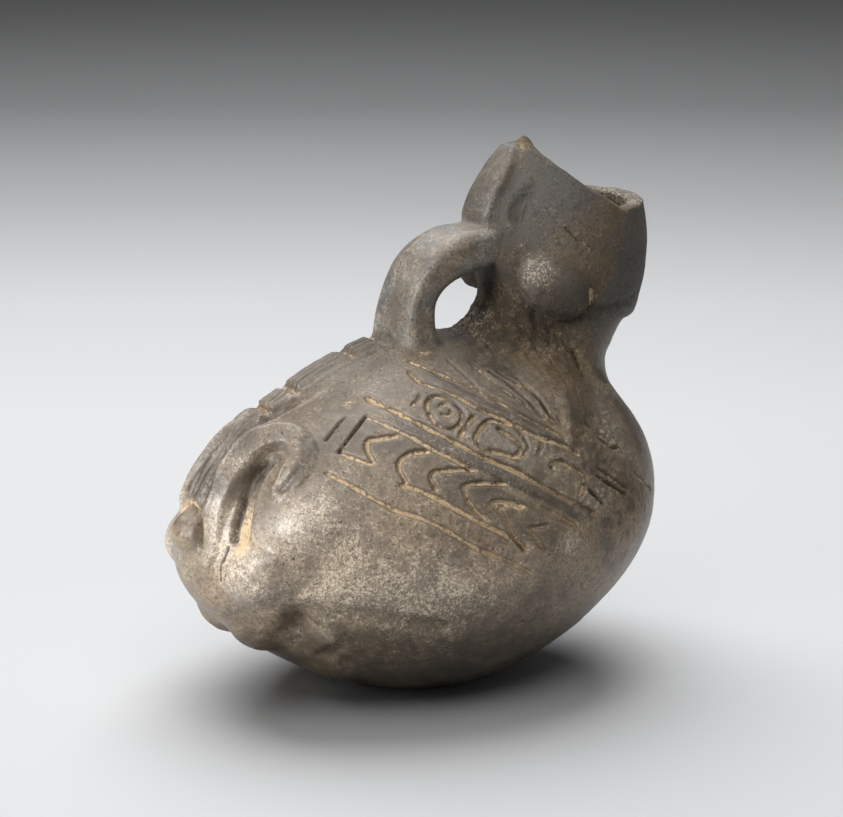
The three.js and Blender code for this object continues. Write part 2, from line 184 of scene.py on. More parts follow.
# Places on the skin under pixels of the photograph: the nearest of a coarse grid that faces the eye,
# then Newton's steps.
def underPixels(pixels):
    pixels = np.atleast_2d(np.asarray(pixels, float))
    u = np.linspace(-pi, 0, 200)[None, :]
    v = np.linspace(0.04, 0.995, 260)[:, None]
    grid = skinOf(vessel["outside"], u, v)
    n = np.cross(np.gradient(grid, axis=0), np.gradient(grid, axis=1))
    faces = np.einsum("ijk,ijk->ij", n, eye - grid) > 0
    shown = pixelOf(grid)
    gaps = np.sum((shown[None] - pixels[:, None, None]) ** 2, -1) + np.where(faces, 0, 1e6)
    best = gaps.reshape(len(pixels), -1).argmin(1)
    a, b = u[0, best % u.size], v[best // u.size, 0]
    nudge = 1e-4
    for _ in range(5):
        here = pixelOf(skinOf(vessel["outside"], a, b))
        alongA = (pixelOf(skinOf(vessel["outside"], a + nudge, b)) - here) / nudge
        alongB = (pixelOf(skinOf(vessel["outside"], a, b + nudge)) - here) / nudge
        off = pixels - here
        area = alongA[:, 0] * alongB[:, 1] - alongA[:, 1] * alongB[:, 0]
        area = np.where(abs(area) < 2e3, 2e3 * np.sign(area + 1e-9), area)
        a = a + clamp((off[:, 0] * alongB[:, 1] - off[:, 1] * alongB[:, 0]) / area, -0.03, 0.03)
        b = clamp(b + clamp((alongA[:, 0] * off[:, 1] - alongA[:, 1] * off[:, 0]) / area, -0.02, 0.02), 0.03, 0.999)
    return skinOf(vessel["outside"], a, b)


# Distance of places from a line of short straight pieces, and the share of its length there, for places within reach.
def nearLine(places, line, reach):
    low, high = line.min(0) - reach, line.max(0) + reach
    close = np.flatnonzero(np.all((places > low) & (places < high), axis=1))
    some = places[close]
    best, share = np.full(len(some), 1e9), np.zeros(len(some))
    steps = np.linalg.norm(np.diff(line, axis=0), axis=1)
    starts = np.concatenate([[0], np.cumsum(steps)])
    for k, step in enumerate(np.diff(line, axis=0)):
        t = clamp((some - line[k]) @ step / max(step @ step, 1e-9))
        gap = np.linalg.norm(some - line[k] - t[:, None] * step, axis=1)
        nearer = gap < best
        best = np.where(nearer, gap, best)
        share = np.where(nearer, (starts[k] + t * steps[k]) / starts[-1], share)
    return close, best, share


# Line on the skin through a few pixels of the photograph.
def drawn(pixels, count=None):
    return underPixels(curveThrough(pixels, np.linspace(0, 1, count or 5 * len(pixels))))


# The same line on the far side: mirrored in y about the middle.
def farSide(line, middle=0.0):
    return line * [1, -1, 1] + [0, 2 * middle, 0]


# Rows run from "start" to the rim in shares of v, closer together past "fineFrom".
grid = {
    "around": 840, "up": 640, "fineUp": 50, "start": 0.016, "fineFrom": 0.95, "rim": 0.9968,
    "lip": 9, "insideUp": 60, "insideEnd": 0.02, "rimRounding": 1.2,
}
layers = ("fill", "tan", "dark", "pale", "rough", "sheen")
around = np.linspace(0, 2 * pi, grid["around"], endpoint=False)[None, :]
upward = np.concatenate([
    np.linspace(grid["start"], grid["fineFrom"], grid["up"] - grid["fineUp"]),
    np.linspace(grid["fineFrom"] + 0.001, grid["rim"], grid["fineUp"]),
])[:, None]
base = skinOf(vessel["outside"], around, upward)
places, normals = base.reshape(-1, 3), normalsOf(base).reshape(-1, 3)
vOf = np.broadcast_to(upward, (grid["up"], grid["around"])).ravel()
rise = np.zeros(len(places))
paint = {name: np.zeros(len(places)) for name in layers}
print("vessel grid", len(places))

# Large soft forms, on both sides: place, reach and height in mm; each falls off smoothly to its reach.
softForms = [
    ((33.2, 16, 95), (13, 10, 7), -1.2),  # hollow under the jaw
    ((-46.8, 26, 54), (18, 14, 15), 1.8),  # haunch
    ((-57.8, 21, 40), (13, 12, 10), 2.6),  # lower haunch
    ((-46.8, 23, 24), (9, 12, 13), -2.2),  # hollow behind the foot
    ((-53.8, 10, 21), (10, 9, 9), 2.4),  # hind foot
    ((-33.8, 17, 11), (10, 11, 9), 1.4),  # belly swelling
    ((28.2, 23, 80), (14, 15, 13), 2.2),  # shoulder
]
for place, reach, high in softForms:
    gap = np.linalg.norm((np.abs(places * [0, 1, 0]) + places * [1, 0, 1] - place) / reach, axis=1)
    rise += high * ease(1.25 * (1 - gap))

# Smaller swellings: across and down in the photograph, reach and height in mm; the far side takes them too.
swells = [
    (300, 526, 12, 1.5), (252, 583, 8.5, 1.5), (609, 392, 4.2, 0.9), (324, 641, 6, 1.3), (296, 626, 5, -1.2),
    (340, 590, 10, 0.6), (478, 226, 6, 0.8), (355, 625, 9, -0.7), (592, 420, 5, -0.6),
]
for centre, (_, _, reach, high) in zip(underPixels([swell[:2] for swell in swells]), swells):
    for side in (1, -1):
        rise += high * np.exp(-np.sum((places - centre * [1, side, 1]) ** 2, 1) / (0.55 * reach) ** 2 * 0.6)

# Cheeks: how far out along its normal a place meets an egg round the middle of the cheek, never less than the skin.
cheek = {"middle": (33.4, -16.2, 104.2), "reach": (12, 8.1, 8.5), "lean": radians(38), "blend": 0.6}
leanCos, leanSin = cos(cheek["lean"]), sin(cheek["lean"])
cheekAxes = np.array([[leanCos, 0, -leanSin], [0, 1, 0], [leanSin, 0, leanCos]])
missed = -9  # marks places whose normal doesn't meet the egg, or that are far from it
for side in (1, -1):
    q = (places - np.array(cheek["middle"]) * [1, side, 1]) @ cheekAxes.T / cheek["reach"]
    w = normals @ cheekAxes.T / cheek["reach"]
    a, b, c = np.sum(w * w, 1), np.sum(q * w, 1), np.sum(q * q, 1) - 1
    met = (b * b > a * c) & (c < 2)
    out = np.where(met, (-b + np.sqrt(np.maximum(b * b - a * c, 0))) / a, missed)
    rise += (out + np.sqrt(out ** 2 + cheek["blend"] ** 2)) / 2 * (out > missed + 1)

# The head rises softly to the ridge at its back: line, height, and where the rise is full and where it ends.
headBack = {
    "line": [(23, 2, 110), (23.5, 2, 119), (26, 2, 127), (29.5, 2, 134), (33, 2, 141)],
    "high": 2.3, "full": 3, "fade": 9.5,
}
close, gap, share = nearLine(places, np.array(headBack["line"], float), 15)
rise[close] += headBack["high"] * (1 - ease((gap - headBack["full"]) / headBack["fade"])) * ease(share / 0.25)

# Rope that curls over each haunch, as pixels of the photograph with widths, heights and depths in mm. Its section is
# round-topped and both ends run out. Inside the curl lies a groove with tan earth, and painted shade on its wall and
# in its deep upper end; outside it a crease with painted shade along it.
rope = {
    "middle": [(206, 560), (210, 545), (215, 516), (224, 494), (236, 473), (251, 454), (267, 442), (280, 437),
               (293, 438), (301, 449), (299, 463), (291, 478), (281, 492)],
    "half": 4.7, "high": 2.5,
    "groove": [(243, 549), (242, 532), (246, 510), (252, 490), (260, 474), (269, 464), (277, 460)],
    "grooveWide": 3.1, "grooveNarrows": 1.5, "grooveDeep": 1.9,
    "wall": [(232, 546), (234, 527), (240, 505), (247, 484), (257, 468), (269, 461)],
    "wallHalf": 1.35, "wallDeep": 1.9,
    "crease": [(200, 556), (203, 523), (212, 502), (224, 476), (243, 449), (263, 428), (288, 411), (311, 397),
               (339, 381)],
    "creaseHalf": 1.6, "creaseDeep": 1.25, "creaseEdge": 0.55,
}
ropeSteps = {"middle": 60, "groove": 30, "wall": 30, "crease": 40}
ropeLines = {name: drawn(rope[name], steps) for name, steps in ropeSteps.items()}
for far in (False, True):
    lines = {name: farSide(line, vessel["spine"]) if far else line for name, line in ropeLines.items()}
    close, gap, share = nearLine(places, lines["middle"], 7)
    width = rope["half"] * (0.62 + 0.38 * ease(share / 0.25)) * (0.75 + 0.25 * ease((1 - share) / 0.08))
    high = rope["high"] * (0.25 + 0.75 * ease(share / 0.3)) * (0.35 + 0.65 * ease((1 - share) / 0.1))
    rise[close] += high * (1 - ease((gap / width - 0.45) / 0.58))

    close, gap, share = nearLine(places, lines["groove"], 7)
    width = rope["grooveWide"] - rope["grooveNarrows"] * share
    bed = 1 - ease((gap - 0.45 * width) / (0.6 * width))
    rise[close] -= rope["grooveDeep"] * ease(share / 0.06) * ease((1 - share) / 0.2) * bed
    paint["fill"][close] = np.maximum(paint["fill"][close], 0.75 * bed * ease((0.8 - share) / 0.65))
    # painted shade in the deep upper end of the groove
    paint["dark"][close] += 0.9 * bed * ease((share - 0.5) / 0.25)

    close, gap, share = nearLine(places, lines["wall"], 5)
    wall = (1 - ease(gap / rope["wallHalf"])) * ease(share / 0.06) * ease((1 - share) / 0.15)
    rise[close] -= rope["wallDeep"] * wall
    # painted shade on the groove's wall
    paint["dark"][close] += wall
    paint["fill"][close] *= 1 - ease(wall * 1.6)

    close, gap, share = nearLine(places, lines["crease"], 5)
    section = rope["creaseEdge"] * np.exp(-(gap - 2) ** 2) - rope["creaseDeep"] * (1 - ease(gap / rope["creaseHalf"]))
    rise[close] += section * ease(share / 0.1) * ease((1 - share) / 0.35)
    # painted shade along the crease
    paint["dark"][close] += 0.5 * (1 - ease(gap / 1.3)) * ease((1 - share) / 0.3)

# Plates along the spine, cut across into long and short blocks, with lengthwise grooves; v up the tail side.
plates = {
    "from": [0.315, 0.457, 0.492, 0.561, 0.596], "to": [0.453, 0.488, 0.557, 0.592, 0.664], "cut": 0.0045,
    "high": 1.5, "half": 7.5, "profile": ([0, 3.4, 4.6, 5.8, 6.6], [1, 0.98, 0.45, 0.3, 0]),
    "grooves": (-2.3, 0.1, 2.2), "grooveHalf": 0.42, "grooveDeep": 0.6, "backEnds": 4, "backAbove": 30,
}
across = places[:, 1] - vessel["spine"]
onBack = (places[:, 0] < plates["backEnds"]) & (places[:, 2] > plates["backAbove"])
onSpine = onBack & (abs(across) < plates["half"])
along = np.zeros(len(places))
for low, high in zip(plates["from"], plates["to"]):
    along = np.maximum(along, ease((vOf - low) / plates["cut"]) * ease((high - vOf) / plates["cut"]))
inSpan = ease((vOf - 0.3) / 0.03) * ease((0.69 - vOf) / 0.03) * onBack
rise += inSpan * (1 - ease((abs(across) - 5) / 9))  # the back rises softly to the plates
wander = 0.3 * np.sin(vOf * 90) + 0.2 * np.sin(vOf * 37)
lengthwise = sum(np.exp(-((across - g - wander) / plates["grooveHalf"]) ** 2) for g in plates["grooves"])
onPlates = onSpine * along
profile = np.interp(abs(across), *plates["profile"])
rise += onPlates * (plates["high"] * profile - plates["grooveDeep"] * lengthwise * (abs(across) < 4.2))
# painted shade in the lengthwise grooves; the plates themselves get a darker tone below
paint["dark"] += 0.5 * onPlates * lengthwise * (abs(across) < 4)
paint["fill"] = np.maximum(paint["fill"], 0.4 * inSpan * (1 - ease(along * 2)) * (abs(across) < 5.5) * onSpine)
paint["dark"] += 0.45 * onPlates * (abs(across) < 5.2)

# Knob at the tail: a rounded swelling with a groove round its upper edge.
knob = {"v": 0.277, "half": 8.2, "high": 3.0, "reachV": 0.04, "groove": 0.7, "tailBefore": -40}
knobGap = np.hypot(across / knob["half"], (vOf - knob["v"]) / knob["reachV"])
atTail = places[:, 0] < knob["tailBefore"]
rise += atTail * knob["high"] * (1 - ease((knobGap - 0.3) / 0.8))
edge = np.exp(-((knobGap - 1.12) / 0.16) ** 2) * atTail * (vOf > knob["v"] - 0.012)
rise -= knob["groove"] * edge
paint["fill"] = np.maximum(paint["fill"], 0.6 * edge * (vOf > knob["v"]))
print("rope, plates and knob")

# Strokes of the flank, head and chest, as pixels of the photograph: half-width and height in mm (below 0 is cut in)
# and how much tan lies in it; narrow cuts with little tan get painted shade. The far side has them too, but for those
# marked near.
strokes = [
    # straight lines
    ([(408, 360), (445, 375), (481, 391), (520, 413), (553, 430), (564, 440)], 0.85, -0.9, 0.75),
    ([(409, 371), (420, 381), (447, 391), (481, 409), (516, 424), (533, 434), (561, 444), (581, 455)], 0.95, -1.1, 1),
    ([(366, 397), (401, 414), (438, 433), (481, 456), (520, 473), (559, 495), (597, 515)], 1, -1.25, 1.1),
    ([(366, 416), (397, 430), (429, 447), (464, 465), (476, 471)], 0.85, -0.85, 0.8),
    ([(541, 505), (575, 525)], 0.7, -0.5, 0.5),
    ([(337, 452), (355, 459), (373, 465)], 0.85, -0.8, 0.8),
    ([(399, 485), (418, 490), (447, 504), (477, 521), (507, 536), (528, 551)], 1.05, -1.1, 1.1),
    ([(325, 473), (353, 487), (377, 501), (397, 511), (420, 518), (447, 531), (477, 549), (509, 562),
      (532, 574)], 0.9, -0.9, 0.85),
    # end strokes
    ([(345, 417), (335, 428), (325, 441)], 0.62, -1.1, 0.1),
    ([(366, 416), (352, 434), (338, 452)], 0.6, -1.3, 0.05),
    # chevrons
    ([(399, 436), (384, 438), (368, 441), (368, 451), (375, 464)], 0.9, -1, 0.95),
    ([(431, 451), (412, 453), (401, 460), (399, 469), (407, 484)], 0.95, -1.1, 1),
    ([(475, 469), (455, 470), (436, 471), (430, 478), (437, 492)], 0.95, -1.1, 1),
    ([(507, 484), (485, 483), (465, 486), (466, 496), (475, 510), (486, 519)], 0.95, -1.05, 1),
    ([(527, 508), (512, 503), (494, 502), (499, 509), (505, 519), (516, 538), (528, 551)], 1, -1.1, 1.05),
    ([(501, 508), (510, 506), (521, 510)], 0.7, -0.7, 0.9, "near"),
    ([(548, 526), (539, 527), (529, 529), (536, 537), (546, 551)], 0.8, -0.9, 0.8),
    # scrolls
    ([(427, 410), (429, 399), (438, 396), (450, 400), (460, 408), (463, 419), (456, 427), (446, 428), (435, 421),
      (428, 411)], 0.85, -1, 0.6),
    ([(439, 406), (445, 404), (451, 410), (448, 415), (441, 413)], 0.7, -0.8, 0.8),
    ([(420, 393), (417, 400), (411, 405)], 0.7, -0.7, 0.5, "near"),
    ([(475, 416), (468, 424), (460, 437)], 1, -1, 0.7),
    ([(513, 425), (501, 422), (490, 420), (481, 428), (476, 440), (486, 451)], 0.85, -1, 0.8),
    ([(498, 428), (509, 435), (517, 441), (522, 449), (516, 456), (506, 454), (487, 450)], 0.95, -1.1, 1),
    ([(515, 426), (526, 440), (528, 450), (520, 460)], 0.75, -0.9, 0.5, "near"),
    ([(536, 438), (543, 443), (538, 455)], 0.8, -0.8, 0.5, "near"),
    ([(555, 471), (551, 464), (560, 461), (571, 466), (582, 473), (585, 481), (580, 497)], 0.95, -1.1, 0.95),
    ([(555, 469), (557, 466)], 1.3, -1, 1),
    # worn strokes at the chest
    ([(597, 468), (612, 478), (627, 489)], 0.8, -0.9, 0.7),
    ([(596, 475), (611, 485), (626, 495)], 0.7, -1, 0.05),
    ([(634, 473), (643, 481), (651, 489)], 0.8, -0.7, 0.8, "near"),
    ([(588, 489), (597, 497), (604, 505)], 0.9, -0.9, 0.1, "near"),
    ([(585, 420), (597, 432), (607, 437)], 0.9, -0.7, 0.5, "near"),
    ([(598, 437), (612, 447), (620, 446)], 0.9, -0.8, 0.1, "near"),
    # fan under the neck
    ([(447, 360), (464, 374), (481, 391)], 0.6, -0.4, 0.35, "near"),
    ([(470, 362), (494, 381), (518, 398), (557, 427)], 0.8, -0.9, 0.85),
    ([(489, 371), (513, 386), (542, 414)], 0.8, -1, 0.2),
    ([(499, 372), (533, 394), (552, 418)], 0.75, -0.9, 0.8),
    ([(516, 377), (536, 396), (556, 421)], 0.7, -0.7, 0.15),
    ([(561, 402), (567, 420), (569, 443)], 1.8, 0.8, 0.25),
    # neck and limb
    ([(577, 348), (586, 364), (592, 380), (601, 389), (609, 393)], 2.6, 1.6, 0.2),
    ([(572, 350), (577, 366), (583, 384)], 1.1, -0.9, 0.35),
    ([(594, 366), (601, 376), (606, 384)], 0.8, -0.6, 0.15),
    # ear ridge, its hollow, slits, jaw line and cheek cracks
    ([(533, 178), (521, 190), (512, 204), (508, 216), (510, 227), (516, 234)], 1.9, 1, 0),
    ([(532, 194), (521, 204), (517, 216), (520, 227)], 1.5, -0.6, 0.16),
    ([(526, 202), (523, 210), (521, 221)], 0.7, 0.6, 0.2),
    ([(516, 160), (510, 176), (503, 195), (497, 212), (492, 232)], 3.2, -1.7, 0),
    ([(565, 227), (572, 234), (579, 242)], 0.5, -0.4, 0.12),
    ([(574, 216), (584, 225), (594, 236)], 0.5, -0.25, 0.16),
    ([(530, 312), (541, 322), (558, 325), (574, 320), (586, 310), (602, 311), (616, 306),
      (634, 298)], 1.3, -0.8, 0.16),
    ([(590, 288), (591, 300), (586, 311)], 1.1, -0.6, 0.8),
    ([(522, 279), (532, 284), (541, 291), (551, 297), (560, 303)], 0.6, -0.5, 0, "near"),
    ([(519, 262), (521, 280), (529, 298), (541, 313)], 1.6, -0.7, 0.16),
    # curl's tip, its shadow side and the ridge inside it
    ([(306, 440), (309, 453), (305, 468), (294, 484), (279, 496)], 1.5, -1, 0),
    ([(288, 470), (281, 480), (273, 491)], 0.9, 0.5, 0),
    # tail crack, haunch fold and belly folds
    ([(229, 547), (225, 560), (222, 566), (223, 582)], 0.45, -0.8, 0, "near"),
    ([(228, 562), (246, 565), (262, 578), (276, 588)], 0.9, -0.3, 0.16, "near"),
    ([(244, 544), (262, 556), (280, 560)], 1.6, 0.4, 0, "near"),
    ([(302, 606), (330, 612), (365, 617), (405, 622), (450, 630)], 2.6, -0.9, 0),
    ([(292, 605), (296, 622), (292, 640)], 3.2, -1.2, 0),
    ([(318, 660), (328, 655), (338, 645)], 2.4, -0.8, 0.1),
]
cutting = {"fineBelow": 1.2, "fineWidth": 0.74, "fineDeep": 1.15, "edge": 0.06, "tanReach": 2.4, "paleReach": 1.9}
for pixels, half, high, tint, *near in strokes:
    isFine, isCut = half < cutting["fineBelow"], high < 0
    line = drawn(pixels)
    for line in (line,) if near else (line, farSide(line)):
        close, gap, share = nearLine(places, line, 3 * half + 1)
        length = np.linalg.norm(np.diff(line, axis=0), axis=1).sum()
        ends = ease(np.minimum(share, 1 - share) * length / (1.2 * half) + 0.35)
        wobble = 1 + isFine * (0.26 * unevenness(places[close], 7, 3) + 0.12 * unevenness(places[close], 2.2, 4))
        width = (cutting["fineWidth"] * half if isFine else half) * wobble * (0.7 + 0.3 * ends)
        shape = 1 - ease((gap / width - 0.2) / 1.15)
        rise[close] += high * (cutting["fineDeep"] if isFine and isCut else 1) * ends * shape
        if isCut and half < 1.5:
            rise[close] += cutting["edge"] * ends * np.exp(-((gap - 1.9 * width) / (0.5 * width)) ** 2)
        earthIn = tint * ends * (1 - ease((gap - 0.3 * width) / (0.75 * width)))
        paint["fill"][close] = np.maximum(paint["fill"][close], earthIn)
        paint["tan"][close] += 0.22 * tint * ends * np.exp(-(gap / cutting["tanReach"]) ** 2)
        paint["pale"][close] += 0.2 * tint * ends * np.exp(-(gap / cutting["paleReach"]) ** 2)
        # narrow cuts with little tan get painted shade
        if isCut and tint < 0.15:
            paint["dark"][close] = np.maximum(paint["dark"][close], 0.8 * ends * shape * (half < 2))
print("strokes", len(strokes))

# Washes of colour, wear, painted shade and painted highlights: across and down in the photograph, reach in mm and
# strength; the far side takes them too.
washes = {
    # dark washes: painted shade under the head, neck and handle, on the cheek's lower side, the head's right side and
    # under the belly, and a darker tone on the plates
    "dark": [(492, 366, 6, 0.9), (476, 362, 4, 0.6), (506, 372, 4, 0.6), (207, 478, 4.5, 0.9), (204, 490, 3, 0.8),
        (186, 524, 2.5, 0.7), (340, 640, 14, 0.4), (400, 645, 18, 0.45), (460, 640, 18, 0.4), (520, 615, 18, 0.3),
        (545, 308, 6, 1.2), (562, 313, 5, 1), (572, 300, 5, 1.2), (556, 292, 4, 0.8), (500, 470, 9, 0.2),
        (440, 300, 8, 0.3), (310, 500, 8, 0.15), (640, 250, 9, 0.45), (620, 330, 6, 0.3), (490, 320, 9, 1.5),
        (530, 335, 8, 0.5), (560, 345, 8, 0.35), (500, 255, 8, 0.5), (600, 270, 14, 0.45), (520, 240, 6, 0.6),
        (566, 306, 5, 0.6), (475, 345, 6, 0.6), (560, 180, 10, 0.3), (405, 330, 7, 0.2), (350, 430, 7, 0.25),
        (515, 215, 5, 0.25)],
    "tan": [(560, 232, 9, 0.5), (592, 262, 9, 0.7), (530, 172, 6, 0.35), (612, 225, 7, 0.5), (642, 235, 6, 0.5),
        (505, 262, 6, 0.5), (600, 405, 7, 0.5), (540, 345, 13, 0.9), (500, 330, 10, 0.8), (560, 370, 11, 0.6),
        (590, 400, 9, 0.55), (475, 300, 8, 0.7), (520, 150, 4, 1), (560, 290, 6, 0.35), (590, 290, 7, 0.5),
        (610, 270, 6, 0.4), (480, 225, 4, 0.8), (395, 262, 4, 0.5), (420, 352, 7, 0.6), (350, 405, 4, 0.8),
        (610, 470, 12, 0.35), (570, 540, 9, 0.6), (330, 565, 10, 0.35), (235, 560, 6, 0.4), (385, 530, 12, 0.35),
        (205, 540, 5, 0.35), (590, 440, 10, 0.4), (335, 677, 6, 0.6), (255, 640, 6, 0.4), (620, 190, 8, 0.9),
        (245, 410, 5, 0.4)],
    # pale washes: cream wear on the lower flank, painted highlights on the haunch, lower haunch, rope and cheek, and
    # painted light on the chest
    "pale": [(300, 530, 9, 1), (250, 583, 8, 1.9), (345, 590, 9, 1.1), (310, 598, 7, 0.9), (380, 600, 8, 1.1),
        (430, 595, 9, 1), (480, 603, 9, 0.9), (400, 555, 12, 0.6), (450, 570, 9, 0.6), (350, 540, 8, 0.7),
        (335, 505, 8, 0.7), (520, 585, 9, 0.7), (540, 270, 4, 1.4), (395, 300, 6, 1), (390, 335, 4, 0.7),
        (470, 230, 4, 0.6), (375, 385, 5, 0.6), (600, 500, 6, 0.9), (570, 545, 5, 1.3), (250, 620, 6, 0.4),
        (330, 630, 6, 0.6), (560, 610, 8, 0.6), (440, 640, 9, 0.5), (395, 262, 4, 0.7), (225, 520, 5, 1.3),
        (243, 464, 4, 1), (218, 545, 4, 1), (222, 560, 5, 0.7), (178, 545, 5, 0.5), (600, 402, 7, 1.2),
        (612, 440, 8, 0.9), (640, 470, 6, 0.7), (560, 460, 8, 0.3), (600, 560, 8, 0.5), (640, 520, 6, 0.5)],
    "fill": [(521, 154, 2.8, 0.55), (349, 405, 2.4, 0.6), (480, 226, 3, 0.45), (603, 299, 2.5, 0.4),
        (335, 677, 3.5, 0.6), (424, 354, 3, 0.5), (590, 296, 2.2, 0.5), (258, 641, 3, 0.5)],
    # sheen washes: burnished gloss in the coat, and a painted highlight through the pale tone
    "sheen": [(300, 526, 10, 1), (250, 583, 9, 1), (225, 500, 6, 0.8), (220, 540, 6, 0.8), (285, 443, 5, 0.6),
        (192, 570, 6, 0.7)],
    "rough": [(610, 470, 15, 1), (590, 430, 10, 0.8), (630, 500, 9, 0.8), (560, 360, 12, 0.6), (480, 330, 10, 0.7),
        (530, 340, 12, 0.7), (545, 300, 5, 0.8), (400, 590, 14, 0.3), (600, 530, 10, 0.4), (350, 350, 6, 0.4)],
}
for name, spots in washes.items():
    for centre, (_, _, reach, strength) in zip(underPixels([spot[:2] for spot in spots]), spots):
        for side in (1, -1):
            paint[name] += strength * np.exp(-np.sum((places - centre * [1, side, 1]) ** 2, 1) / reach ** 2)

# Burnished bands of the flank, dark and the narrow ones a little proud. Each runs along the straight lines, between two
# distances up across them: low, high, start, end, how proud and how dark.
flankBands = {
    "slope": radians(31), "from": (-0.8, -1.1), "side": 10, "edge": 0.8, "fade": 4,
    "rows": [(70.2, 72.6, -52, -12, 0.35, 0.8), (55.0, 58.5, -60, -3, 0.35, 0.8), (44.2, 54.0, -50, -8, 0, 0.5)],
}
ahead, above = places[:, 0] - flankBands["from"][0], places[:, 2] - flankBands["from"][1]
downLine = ahead * cos(flankBands["slope"]) - above * sin(flankBands["slope"])
upAcross = ahead * sin(flankBands["slope"]) + above * cos(flankBands["slope"])
for low, high, start, end, proud, darker in flankBands["rows"]:
    between = ease((upAcross - low) / flankBands["edge"]) * ease((high - upAcross) / flankBands["edge"])
    ended = ease((downLine - start) / flankBands["fade"]) * ease((end - downLine) / flankBands["fade"])
    band = between * ended * (abs(places[:, 1]) > flankBands["side"])
    rise += proud * band
    paint["dark"] += darker * band

# Wear follows the relief: high places are rubbed pale, low ones keep their earth and the deepest get painted shade,
# all against the mean nearby.
wear = {"rounds": 10, "pale": 0.55, "tan": 0.5, "dark": 0.25}
level = rise.reshape(grid["up"], grid["around"])
mean = level.copy()
for _ in range(wear["rounds"]):
    mean = (mean + np.roll(mean, 2, 1) + np.roll(mean, -2, 1)) / 3
    mean[2:-2] = (mean[2:-2] + mean[4:] + mean[:-4]) / 3
standing = (level - mean).ravel()
paint["pale"] += wear["pale"] * clamp(standing * 1.6)
paint["tan"] += wear["tan"] * clamp(-standing * 1.2)
paint["dark"] += wear["dark"] * clamp(-standing * 1.4 - 0.3)

# Hand-made unevenness: height, more height where the surface is worn, wavelength and seed.
dents = [(0.2, 0, 34, 11), (0.06, 0, 12, 12), (0.04, 0.24, 3.6, 13), (0.02, 0.15, 1.9, 14)]
for high, wornHigh, wavelength, seed in dents:
    rise += (high + wornHigh * clamp(paint["rough"])) * unevenness(places, wavelength, seed)
fades = ease((vOf - grid["start"]) / 0.03) * ease((1.02 - vOf) / 0.05)
shaped = places + normals * (rise * fades)[:, None]
shaped[:, 2] = np.maximum(shaped[:, 2], 0)
shaped = shaped.reshape(grid["up"], grid["around"], 3)

# Lip and inside. The lip is a round-topped bridge from the outer to the inner edge.
insideV = np.linspace(grid["rim"], grid["insideEnd"], grid["insideUp"])[:, None]
hollow = skinOf(vessel["inside"], around, insideV)
hollow = hollow + normalsOf(hollow) * (0.35 * unevenness(hollow, 16, 21) * (insideV < 0.98))[..., None]
bridge = np.linspace(0, pi, grid["lip"] + 2)[1:-1, None, None]
edgeOut, edgeIn = shaped[-1][None], hollow[0][None]
lip = edgeOut * (1 + np.cos(bridge)) / 2 + edgeIn * (1 - np.cos(bridge)) / 2
lip = lip + tiltedUp * (grid["rimRounding"] * np.sin(bridge)) * (1 + 0.15 * unevenness(lip, 6, 22)[..., None])
rings = np.concatenate([shaped, lip, hollow])


# Mesh of rings closed round, with a point at each end.
def meshOfRings(name, rings, start, end, paints):
    rows, cols = rings.shape[:2]
    points = np.vstack([start[None], rings.reshape(-1, 3), end[None]]) / 1000
    i, j = np.meshgrid(np.arange(rows - 1), np.arange(cols), indexing="ij")
    a, b = 1 + i * cols + j, 1 + i * cols + (j + 1) % cols
    quads = np.stack([a, b, b + cols, a + cols], -1).reshape(-1, 4)
    k = np.arange(cols)
    first = np.stack([np.zeros(cols, int), 1 + (k + 1) % cols, 1 + k], -1)
    lastRow = 1 + (rows - 1) * cols
    last = np.stack([np.full(cols, len(points) - 1), lastRow + k, lastRow + (k + 1) % cols], -1)
    loops = np.concatenate([first.ravel(), quads.ravel(), last.ravel()])
    sizes = np.concatenate([np.full(cols, 3), np.full(len(quads), 4), np.full(cols, 3)])
    mesh = bpy.data.meshes.new(name)
    mesh.vertices.add(len(points))
    mesh.vertices.foreach_set("co", points.ravel())
    mesh.loops.add(len(loops))
    mesh.loops.foreach_set("vertex_index", loops)
    mesh.polygons.add(len(sizes))
    mesh.polygons.foreach_set("loop_start", np.concatenate([[0], np.cumsum(sizes)[:-1]]))
    mesh.update(calc_edges=True)
    for label, values in paints.items():
        mesh.attributes.new(label, "FLOAT", "POINT").data.foreach_set("value", values.astype(np.float32))
    made = bpy.data.objects.new(name, mesh)
    bpy.context.scene.collection.objects.link(made)
    return made


# Closed mesh with its faces turned outwards: the volume inside comes out below 0 where they point inwards.
def turnedOutwards(made):
    mesh = made.data
    mesh.calc_loop_triangles()
    corner = np.empty(len(mesh.loop_triangles) * 3, int)
    mesh.loop_triangles.foreach_get("vertices", corner)
    spot = np.empty(len(mesh.vertices) * 3)
    mesh.vertices.foreach_get("co", spot)
    a, b, c = np.moveaxis(spot.reshape(-1, 3)[corner.reshape(-1, 3)], 1, 0)
    if np.einsum("ij,ij->i", a, np.cross(b, c)).sum() < 0:
        mesh.flip_normals()
    return made


